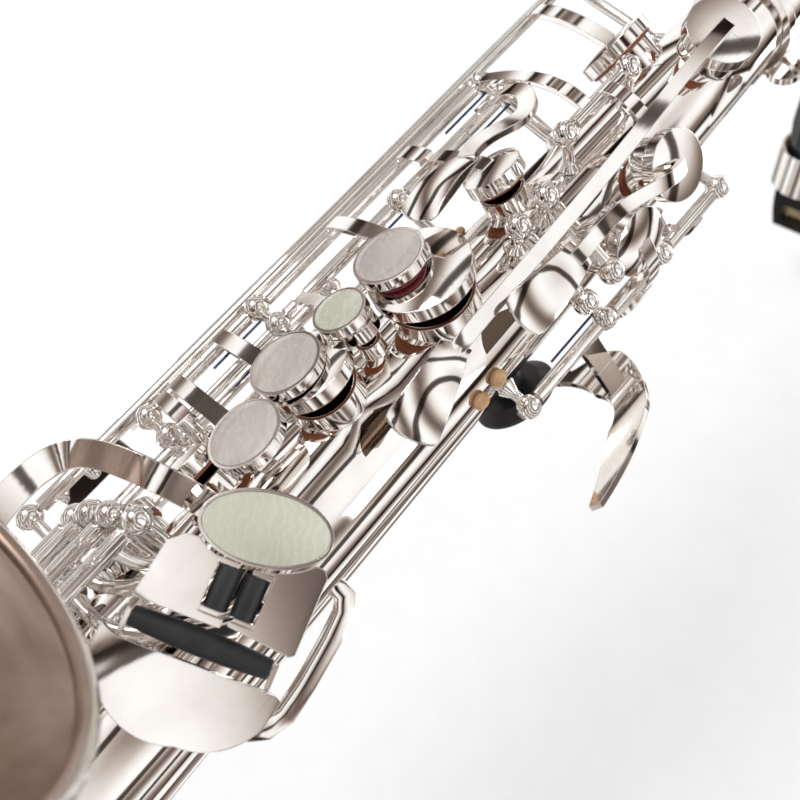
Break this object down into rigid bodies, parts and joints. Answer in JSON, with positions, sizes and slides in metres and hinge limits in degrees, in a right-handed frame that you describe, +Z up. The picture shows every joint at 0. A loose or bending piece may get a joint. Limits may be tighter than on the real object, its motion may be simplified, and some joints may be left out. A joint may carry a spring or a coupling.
{
  "type": "alto saxophone",
  "caption": "Single-reed horn with a conical body, flared bell, curved neck and mouthpiece, its padded keys on hinge rods with finger touches and a little-finger table.",
  "frame": {"origin": "centre of the hole in the neck-strap ring on the back of the body tube", "axes": "+Z up the body tube towards the neck, -Y the way the bell stands off the body, +X the side of the palm keys (the player's left)"},
  "size_m": [0.1234, 0.3508, 0.6432],
  "materials": {
    "silver_plate": "mirror-polished silver plate",
    "bell_plate": "satin inside, polished outside",
    "steel_rod": "ground steel",
    "pearl": "mother-of-pearl",
    "pad_leather": "smooth kid leather",
    "black_plastic": "matte",
    "black_ebonite": "polished hard rubber",
    "cork": "sanded cork",
    "cane": "scraped cane",
    "red_felt": "felt",
    "blued_steel": "blued spring steel"
  },
  "bodies": {
    "horn": {"body_tube": "silver_plate", "bow": "silver_plate", "bell": "bell_plate", "bow_ferrules": "silver_plate", "neck_receiver": "silver_plate", "clamp_screws": "silver_plate", "strap_ring": "silver_plate", "thumb_rest": "black_plastic", "thumb_hook": "silver_plate", "bell_brace": "silver_plate", "key_posts": "silver_plate", "hinge_rods": "steel_rod", "needle_springs": "blued_steel", "key_guards": "silver_plate", "guard_felts": "red_felt", "neck_tube": "silver_plate", "neck_cork": "cork", "mouthpiece": "black_ebonite", "reed": "cane", "ligature": "silver_plate"},
    "b_key": {"b_key": "silver_plate", "b_pad": "pad_leather", "b_pearl": "pearl"},
    "a_key": {"a_key": "silver_plate", "a_pad": "pad_leather", "a_pearl": "pearl"},
    "g_key": {"g_key": "silver_plate", "g_pearl": "pearl"},
    "bis_key": {"bis_key": "silver_plate", "bis_pearl": "pearl"},
    "c_key": {"c_key": "silver_plate", "c_pad": "pad_leather"},
    "front_f_touch": {"front_f_touch": "silver_plate"},
    "front_f_lever": {"front_f_lever": "silver_plate"},
    "palm_f_key": {"palm_f_key": "silver_plate", "palm_f_pad": "pad_leather"},
    "palm_eb_key": {"palm_eb_key": "silver_plate", "palm_eb_pad": "pad_leather"},
    "palm_d_key": {"palm_d_key": "silver_plate", "palm_d_pad": "pad_leather"},
    "octave_lever": {"octave_lever": "silver_plate"},
    "octave_vent_key": {"octave_vent_key": "silver_plate"},
    "gs_key": {"gs_key": "silver_plate", "gs_pearl": "pearl"},
    "low_cs_key": {"low_cs_key": "silver_plate"},
    "low_b_key": {"low_b_key": "silver_plate"},
    "low_bb_key": {"low_bb_key": "silver_plate"},
    "f_key": {"f_key": "silver_plate"},
    "e_key": {"e_key": "silver_plate"},
    "d_key": {"d_key": "silver_plate"},
    "low_eb_key": {"low_eb_key": "silver_plate"},
    "low_c_key": {"low_c_key": "silver_plate"},
    "high_e_key": {"high_e_key": "silver_plate", "high_e_pad": "pad_leather"},
    "side_bb_key": {"side_bb_key": "silver_plate"},
    "side_c_key": {"side_c_key": "silver_plate"},
    "neck_octave_key": {"neck_octave_key": "silver_plate"},
    "low_cs_roller": {"low_cs_roller": "black_plastic"},
    "low_b_roller": {"low_b_roller": "black_plastic"},
    "low_bb_roller": {"low_bb_roller": "black_plastic"}
  },
  "joints": [
    {"name": "b_key_swing", "type": "hinge", "parent": "horn", "child": "b_key", "pos_m": [-0.0394, -0.04599, 0.092], "axis": [0, 0, -1], "range_deg": [-5.3, 0]},
    {"name": "a_key_swing", "type": "hinge", "parent": "horn", "child": "a_key", "pos_m": [-0.0394, -0.04599, 0.036], "axis": [0, 0, -1], "range_deg": [-5.3, 0]},
    {"name": "g_key_swing", "type": "hinge", "parent": "horn", "child": "g_key", "pos_m": [-0.0394, -0.04599, 0.02], "axis": [0, 0, -1], "range_deg": [-5, 0]},
    {"name": "bis_key_swing", "type": "hinge", "parent": "horn", "child": "bis_key", "pos_m": [-0.03103, -0.0455, 0.07], "axis": [0, 0, -1], "range_deg": [-4.6, 0]},
    {"name": "c_key_swing", "type": "hinge", "parent": "horn", "child": "c_key", "pos_m": [-0.03103, -0.0455, 0.108], "axis": [0, 0, -1], "range_deg": [-6, 0]},
    {"name": "front_f_touch_swing", "type": "hinge", "parent": "horn", "child": "front_f_touch", "pos_m": [-0.03103, -0.0455, 0.127], "axis": [0, 0, -1], "range_deg": [-2.5, 0]},
    {"name": "front_f_lever_swing", "type": "hinge", "parent": "horn", "child": "front_f_lever", "pos_m": [0, -0.0555, 0.137], "axis": [0, 0, -1], "range_deg": [0, 2]},
    {"name": "palm_f_key_swing", "type": "hinge", "parent": "horn", "child": "palm_f_key", "pos_m": [0.01566, -0.04529, 0.0975], "axis": [0.7314, 0.682, 0], "range_deg": [0, 3]},
    {"name": "palm_eb_key_swing", "type": "hinge", "parent": "horn", "child": "palm_eb_key", "pos_m": [0.01566, -0.04529, 0.108], "axis": [0.7314, 0.682, 0], "range_deg": [0, 5]},
    {"name": "palm_d_key_swing", "type": "hinge", "parent": "horn", "child": "palm_d_key", "pos_m": [0.02364, -0.01895, 0.118], "axis": [0, 0, 1], "range_deg": [0, 7]},
    {"name": "octave_lever_swing", "type": "hinge", "parent": "horn", "child": "octave_lever", "pos_m": [0.02364, -0.01895, 0.09], "axis": [0, 0, -1], "range_deg": [-4, 0]},
    {"name": "octave_vent_key_swing", "type": "hinge", "parent": "horn", "child": "octave_vent_key", "pos_m": [0.02364, -0.01895, 0.144], "axis": [0, 0, -1], "range_deg": [0, 5]},
    {"name": "gs_key_swing", "type": "hinge", "parent": "horn", "child": "gs_key", "pos_m": [-0.00515, -0.06514, -0.023], "axis": [0, 0, 1], "range_deg": [0, 4]},
    {"name": "low_cs_key_swing", "type": "hinge", "parent": "horn", "child": "low_cs_key", "pos_m": [-0.01235, -0.06338, -0.125], "axis": [0, 0, 1], "range_deg": [0, 2.6]},
    {"name": "low_b_key_swing", "type": "hinge", "parent": "horn", "child": "low_b_key", "pos_m": [-0.01906, -0.06021, -0.115], "axis": [0, 0, -1], "range_deg": [0, 2.6]},
    {"name": "low_bb_key_swing", "type": "hinge", "parent": "horn", "child": "low_bb_key", "pos_m": [-0.025, -0.05578, -0.095], "axis": [0, 0, -1], "range_deg": [0, 3]},
    {"name": "f_key_swing", "type": "hinge", "parent": "horn", "child": "f_key", "pos_m": [-0.03523, -0.01426, -0.043], "axis": [0, 0, -1], "range_deg": [-5, 0]},
    {"name": "e_key_swing", "type": "hinge", "parent": "horn", "child": "e_key", "pos_m": [-0.03523, -0.01426, -0.074], "axis": [0, 0, -1], "range_deg": [-5, 0]},
    {"name": "d_key_swing", "type": "hinge", "parent": "horn", "child": "d_key", "pos_m": [-0.03523, -0.01426, -0.108], "axis": [0, 0, -1], "range_deg": [-5, 0]},
    {"name": "low_eb_key_swing", "type": "hinge", "parent": "horn", "child": "low_eb_key", "pos_m": [-0.0408, -0.01202, -0.155], "axis": [0, 0, -1], "range_deg": [0, 5]},
    {"name": "low_c_key_swing", "type": "hinge", "parent": "horn", "child": "low_c_key", "pos_m": [-0.0408, -0.01202, -0.195], "axis": [0, 0, -1], "range_deg": [-5, 0]},
    {"name": "high_e_key_swing", "type": "hinge", "parent": "horn", "child": "high_e_key", "pos_m": [-0.04559, -0.04393, 0.085], "axis": [0, 0, -1], "range_deg": [0, 6]},
    {"name": "side_bb_key_swing", "type": "hinge", "parent": "horn", "child": "side_bb_key", "pos_m": [-0.03891, -0.03122, 0.025], "axis": [0, 0, 1], "range_deg": [0, 6]},
    {"name": "side_c_key_swing", "type": "hinge", "parent": "horn", "child": "side_c_key", "pos_m": [-0.0358, -0.02474, 0.035], "axis": [0, 0, 1], "range_deg": [0, 6]},
    {"name": "neck_octave_key_swing", "type": "hinge", "parent": "horn", "child": "neck_octave_key", "pos_m": [0, -0.03365, 0.29054], "axis": [1, 0, 0], "range_deg": [0, 3]},
    {"name": "low_cs_roller_spin", "type": "hinge", "parent": "low_cs_key", "child": "low_cs_roller", "pos_m": [0.01501, -0.05644, -0.00543], "axis": [-0.2891, -0.1669, 0.9426], "continuous": true},
    {"name": "low_b_roller_spin", "type": "hinge", "parent": "low_b_key", "child": "low_b_roller", "pos_m": [0.01958, -0.0538, -0.00357], "axis": [-0.2891, -0.1669, 0.9426], "continuous": true},
    {"name": "low_bb_roller_spin", "type": "hinge", "parent": "low_bb_key", "child": "low_bb_roller", "pos_m": [0.01809, -0.05373, -0.01589], "axis": [0.8164, 0.4713, 0.3338], "continuous": true}
  ],
  "couplings": [
    {"joint": "c_key_swing", "follows": "b_key_swing", "ratio": 1.12},
    {"joint": "bis_key_swing", "follows": "a_key_swing", "ratio": 0.86},
    {"joint": "front_f_lever_swing", "follows": "front_f_touch_swing", "ratio": -0.8},
    {"joint": "octave_vent_key_swing", "follows": "octave_lever_swing", "ratio": -1.25}
  ]
}
